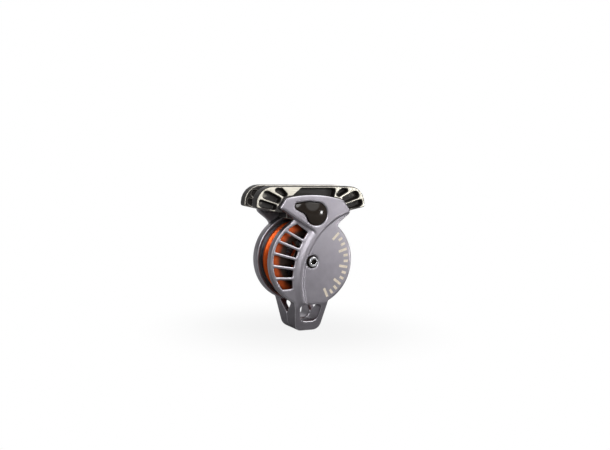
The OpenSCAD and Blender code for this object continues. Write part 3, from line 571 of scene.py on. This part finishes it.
# Moulded nylon: near black, glossy, with a faint orange-peel waviness 3 mm across.
nylon_black, nylon_grey = "#1c1713", "#2a231d"
waves_per_metre, patches_per_metre = 330.0, 120.0
nylon, tree, output = start_material("moulded_nylon_black_gloss")
here = add(tree, "ShaderNodeTexCoord").outputs["Object"]
wave = add(tree, "ShaderNodeTexNoise", {
    "Vector": here, "Scale": waves_per_metre, "Detail": 1.0}).outputs["Fac"]
cloud = add(tree, "ShaderNodeTexNoise", {
    "Vector": here, "Scale": patches_per_metre, "Detail": 5.0}).outputs["Fac"]
colour = add(tree, "ShaderNodeMix", {"Factor": cloud, 6: linear(nylon_black), 7: linear(nylon_grey)},
             data_type="RGBA").outputs[2]
rough = add(tree, "ShaderNodeMapRange", {"Value": cloud, "To Min": 0.08, "To Max": 0.12}).outputs["Result"]
bump = add(tree, "ShaderNodeBump", {"Height": wave, "Strength": 0.03, "Distance": 0.0001}).outputs["Normal"]
gloss = add(tree, "ShaderNodeBsdfPrincipled", {
    "Base Color": colour, "Roughness": rough, "IOR": 1.53, "Specular IOR Level": 0.22, "Normal": bump})
tree.links.new(gloss.outputs["BSDF"], output.inputs["Surface"])

button = softened("release_button_cap", "release_button", "button",
                  cell_mm=0.25, blur_mm=0.4)
button.data.materials.append(nylon)


# Backdrop, light and camera. A paper sweep runs under the part and rises behind it, soft round lamps stand in
# front of it and above, and the room is a plain grey that is lighter overhead.

def paper_sweep(name, forward, floor_z, across=1.7, near=-1.6, far=1.8, bend_from=0.45, bend=0.8, steps=97):
    """Sheet over a square grid: flat up to bend_from along the forward direction, then rising as a square."""
    s, t = np.meshgrid(np.linspace(near, far, steps), np.linspace(-across, across, steps), indexing="ij")
    ahead = np.asarray(forward, float) / math.hypot(*forward)
    rise = bend * np.clip(s - bend_from, 0, None) ** 2
    points = np.stack([s * ahead[0] - t * ahead[1], s * ahead[1] + t * ahead[0], floor_z + rise], -1)
    i, k = np.meshgrid(np.arange(steps - 1), np.arange(steps - 1), indexing="ij")
    corner = i * steps + k
    faces = np.stack([corner, corner + steps, corner + steps + 1, corner + 1], -1)
    return mesh_piece(name, points.reshape(-1, 3), faces.reshape(-1, 4))


azimuth, elevation, roll = math.radians(-27.0), math.radians(5.0), math.radians(1.3)
distance = 0.6
ahead = (-math.sin(azimuth), math.cos(azimuth), 0)
aside = (math.cos(azimuth), math.sin(azimuth), 0)
paper_below = 0.00005
sweep = paper_sweep("paper_sweep", ahead[:2], cad_box[0].z - paper_below)

# Matt paper: white behind the part and grey in front of it, so that little light bounces up onto the part.
# What the eye and bright metal see of it is pure white away from the part, and close to the part it is shaded
# a little and keeps the part's shadow. It turns to the grey of the room before its front and side edges.
paper_white, paper_grey, room_grey, room_top = "#fbfbfa", "#949493", "#898989", "#b4b4b8"
white_from, white_to = -0.05, 0.20
side_from, side_to, side_slope = 0.30, 0.95, -0.38
front_from, front_to = -0.30, -1.2
shadow_from, shadow_to, shadow_share = 0.02, 0.13, 0.87
mirror_from, mirror_to = 0.3, 1.5
paper, tree, output = start_material("white_paper_matt")
here = add(tree, "ShaderNodeTexCoord").outputs["Object"]
depth = add(tree, "ShaderNodeVectorMath", {0: here, 1: ahead}, operation="DOT_PRODUCT").outputs["Value"]
behind = add(tree, "ShaderNodeMapRange", {"Value": depth, "From Min": white_from, "From Max": white_to},
             interpolation_type="SMOOTHSTEP").outputs["Result"]
tone = add(tree, "ShaderNodeMix", {"Factor": behind, 6: linear(paper_grey), 7: linear(paper_white)},
           data_type="RGBA").outputs[2]
matt = add(tree, "ShaderNodeBsdfDiffuse", {"Color": tone}).outputs["BSDF"]
sideways = add(tree, "ShaderNodeVectorMath", {0: here, 1: aside}, operation="DOT_PRODUCT").outputs["Value"]
beside = add(tree, "ShaderNodeMath", {0: sideways}, operation="ABSOLUTE").outputs[0]
outside = add(tree, "ShaderNodeMath", {0: depth, 1: side_slope, 2: beside},
              operation="MULTIPLY_ADD").outputs[0]
to_side = add(tree, "ShaderNodeMapRange", {"Value": outside, "From Min": side_from, "From Max": side_to},
              interpolation_type="SMOOTHSTEP").outputs["Result"]
to_front = add(tree, "ShaderNodeMapRange", {"Value": depth, "From Min": front_from, "From Max": front_to},
               interpolation_type="SMOOTHSTEP").outputs["Result"]
dim = add(tree, "ShaderNodeMath", {0: to_side, 1: to_front}, operation="MAXIMUM").outputs[0]
backdrop = add(tree, "ShaderNodeMix", {"Factor": dim, 6: (1, 1, 1, 1), 7: linear(room_grey)},
               data_type="RGBA").outputs[2]
glow = add(tree, "ShaderNodeEmission", {"Color": backdrop, "Strength": 1.0}).outputs["Emission"]
away = add(tree, "ShaderNodeVectorMath", {0: here}, operation="LENGTH").outputs["Value"]
fade = add(tree, "ShaderNodeMapRange", {
    "Value": away, "From Min": shadow_from, "From Max": shadow_to, "To Min": shadow_share},
    interpolation_type="SMOOTHSTEP").outputs["Result"]
ray = add(tree, "ShaderNodeLightPath").outputs
shiny = add(tree, "ShaderNodeMath", {0: ray["Is Glossy Ray"], 1: ray["Is Transmission Ray"]},
            operation="MAXIMUM").outputs[0]
far_off = add(tree, "ShaderNodeMapRange", {"Value": away, "From Min": mirror_from, "From Max": mirror_to},
              interpolation_type="SMOOTHSTEP").outputs["Result"]
mirrored = add(tree, "ShaderNodeMath", {0: far_off, 1: shiny}, operation="MULTIPLY").outputs[0]
viewed = add(tree, "ShaderNodeMath", {0: fade, 1: ray["Is Camera Ray"]}, operation="MULTIPLY").outputs[0]
share = add(tree, "ShaderNodeMath", {0: viewed, 1: mirrored}, operation="MAXIMUM").outputs[0]
both = add(tree, "ShaderNodeMixShader", {0: share, 1: matt, 2: glow})
tree.links.new(both.outputs["Shader"], output.inputs["Surface"])
sweep.data.materials.append(paper)

world = bpy.data.worlds.new("grey_studio")
scene.world = world
world.use_nodes = True
tree = world.node_tree
tree.nodes.clear()
around = add(tree, "ShaderNodeTexCoord").outputs["Generated"]
toward = add(tree, "ShaderNodeSeparateXYZ", {"Vector": around})
upward = add(tree, "ShaderNodeMapRange", {
    "Value": toward.outputs["Z"], "From Min": 0.25, "From Max": 0.9}).outputs["Result"]
room = add(tree, "ShaderNodeMix", {"Factor": upward, 6: linear(room_grey), 7: linear(room_top)},
           data_type="RGBA").outputs[2]
sky = add(tree, "ShaderNodeBackground", {"Color": room, "Strength": 1.0})
tree.links.new(sky.outputs["Background"], add(tree, "ShaderNodeOutputWorld").inputs["Surface"])

# The key stands in front on the left, the fill in front on the right and the top lamp above on the right.
# The spark is small and low: its reflection is the white spot on the button.
# Each has its place from the axle, its size and its power in watts.
centre = np.array([0, 0, axle_z_mm / 1000])
lamps = [
    ("key", (-0.18, -0.59, 0.20), 0.25, 1.55),
    ("fill", (0.20, -0.50, 0.17), 0.34, 0.62),
    ("top", (0.34, -0.36, 0.58), 0.45, 2.25),
    ("spark", (0.385, -0.415, -0.02), 0.05, 0.36),
]
for name, place, size, power in lamps:
    lamp = bpy.data.lights.new(name, "AREA")
    lamp.shape = "DISK"
    lamp.size = size
    lamp.energy = power
    holder = bpy.data.objects.new(name, lamp)
    scene.collection.objects.link(holder)
    holder.location = centre + np.array(place)
    aim = holder.location - type(holder.location)(centre)
    holder.rotation_mode = "QUATERNION"
    holder.rotation_quaternion = aim.to_track_quat("Z", "Y")

# The image is taken as 610 by 450 pixels, with 1.372 pixels to a millimetre at the axle screw, which sits
# 9 pixels right of the image's middle and 37 below it. The camera is turned a little anticlockwise.
image_width, pixels_per_metre, screw_right, screw_down = 610, 1372.0, 9.0, 37.0
sensor_mm, screw_face_y = 36.0, -0.0194
back = np.array([math.sin(azimuth) * math.cos(elevation), -math.cos(azimuth) * math.cos(elevation),
                 math.sin(elevation)])
level_right = np.array(aside)
level_up = np.cross(back, level_right)
right = level_right * math.cos(roll) + level_up * math.sin(roll)
up = level_up * math.cos(roll) - level_right * math.sin(roll)
screw_head = np.array([0, screw_face_y, axle_z_mm / 1000])
image_middle = screw_head - right * screw_right / pixels_per_metre + up * screw_down / pixels_per_metre
camera_data = bpy.data.cameras.new("camera")
camera_data.sensor_width = sensor_mm
camera_data.lens = sensor_mm * distance / (image_width / pixels_per_metre)
camera_data.clip_start = 0.01
camera_data.clip_end = 50.0
camera = bpy.data.objects.new("camera", camera_data)
scene.collection.objects.link(camera)
camera.location = image_middle + back * distance
camera.rotation_mode = "QUATERNION"
camera.rotation_quaternion = Matrix(np.stack([right, up, back], 1).tolist()).to_quaternion()
scene.camera = camera
